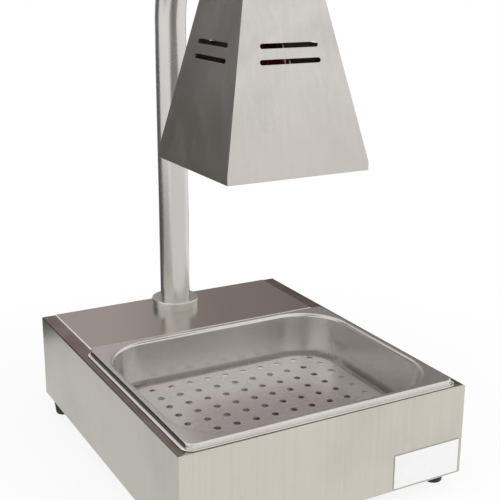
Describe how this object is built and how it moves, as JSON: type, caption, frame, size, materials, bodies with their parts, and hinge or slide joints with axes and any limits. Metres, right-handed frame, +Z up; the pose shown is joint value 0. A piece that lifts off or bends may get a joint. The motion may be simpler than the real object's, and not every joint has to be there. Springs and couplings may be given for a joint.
{
  "type": "chip warmer",
  "caption": "Counter-top food warmer: a heated box with a drop-in pan and drain plate, and a bent post that holds a square heat lamp shade over it.",
  "frame": {"origin": "middle of the bounding box at the height of the feet's undersides", "axes": "+Z up, +Y from the pan at the front to the post at the rear, +X to the right seen from the front"},
  "size_m": [0.34, 0.4242, 0.639],
  "materials": {
    "case_steel": "satin, fine vertical brushing",
    "pan_steel": "satin pressed steel",
    "tube_steel": "polished tube",
    "inner_steel": "dull zinc plate",
    "fastener_steel": "bright zinc plate",
    "foot_rubber": "matt black",
    "lamp_ruby": "ruby glass",
    "lamp_metal": "thin rolled metal",
    "filament_metal": "grey wire and pinched glass",
    "holder_ceramic": "glazed white",
    "holder_brass": "plain",
    "element_metal": "dark, heat-tinted",
    "badge_white": "plain white",
    "fitting_black": "fine grain",
    "rocker_red": "red, bare",
    "lead_insulation": "silicone",
    "cable_sleeve": "braided glass sleeve",
    "thermostat_body": "brown, dull"
  },
  "bodies": {
    "housing": {"badge_plate": "badge_white", "base_plate": "inner_steel", "base_screws": "fastener_steel", "deck": "case_steel", "divider": "inner_steel", "earth_lead": "lead_insulation", "earth_stud": "holder_brass", "element_brackets": "inner_steel", "element_bushes": "holder_brass", "element_nuts": "holder_brass", "foot_front_left": "foot_rubber", "foot_front_right": "foot_rubber", "foot_nuts": "fastener_steel", "foot_rear_left": "foot_rubber", "foot_rear_right": "foot_rubber", "foot_screws": "fastener_steel", "foot_washers": "fastener_steel", "front_panel": "case_steel", "hanger_plate": "inner_steel", "hanger_screws": "fastener_steel", "heat_shield": "inner_steel", "heater_leads": "lead_insulation", "heater_switch": "fitting_black", "heating_element": "element_metal", "holder_liner": "holder_brass", "holder_screws": "fastener_steel", "holder_spacers": "fastener_steel", "inlet_pins": "holder_brass", "inlet_screws": "fastener_steel", "lamp_cable": "cable_sleeve", "lamp_cap": "lamp_metal", "lamp_filament": "filament_metal", "lamp_glass": "lamp_ruby", "lamp_holder": "holder_ceramic", "lamp_switch": "fitting_black", "mains_leads": "lead_insulation", "post_collar": "tube_steel", "post_nuts": "fastener_steel", "post_plate": "inner_steel", "post_studs": "fastener_steel", "post_tube": "tube_steel", "power_inlet": "fitting_black", "rear_panel": "case_steel", "rear_screws": "fastener_steel", "shade": "case_steel", "shade_collar": "tube_steel", "side_panel_left": "case_steel", "side_panel_right": "case_steel", "switch_leads": "lead_insulation", "terminal_block": "holder_ceramic", "terminal_screws": "holder_brass", "thermostat": "thermostat_body", "thermostat_screws": "fastener_steel"},
    "pan": {"pan": "pan_steel"},
    "drain_plate": {"drain_plate": "pan_steel"},
    "lamp_rocker": {"lamp_rocker": "rocker_red"},
    "heater_rocker": {"heater_rocker": "rocker_red"}
  },
  "joints": [
    {"name": "pan_lift", "type": "slide", "parent": "housing", "child": "pan", "axis": [0, 0, 1], "range_m": [0, 0.09]},
    {"name": "drain_plate_lift", "type": "slide", "parent": "pan", "child": "drain_plate", "axis": [0, 0, 1], "range_m": [0, 0.09]},
    {"name": "lamp_switch_press", "type": "hinge", "parent": "housing", "child": "lamp_rocker", "pos_m": [0.068, 0.20598, 0.069], "axis": [1, 0, 0], "range_deg": [0, 20]},
    {"name": "heater_switch_press", "type": "hinge", "parent": "housing", "child": "heater_rocker", "pos_m": [0.108, 0.20598, 0.069], "axis": [1, 0, 0], "range_deg": [0, 20]}
  ]
}
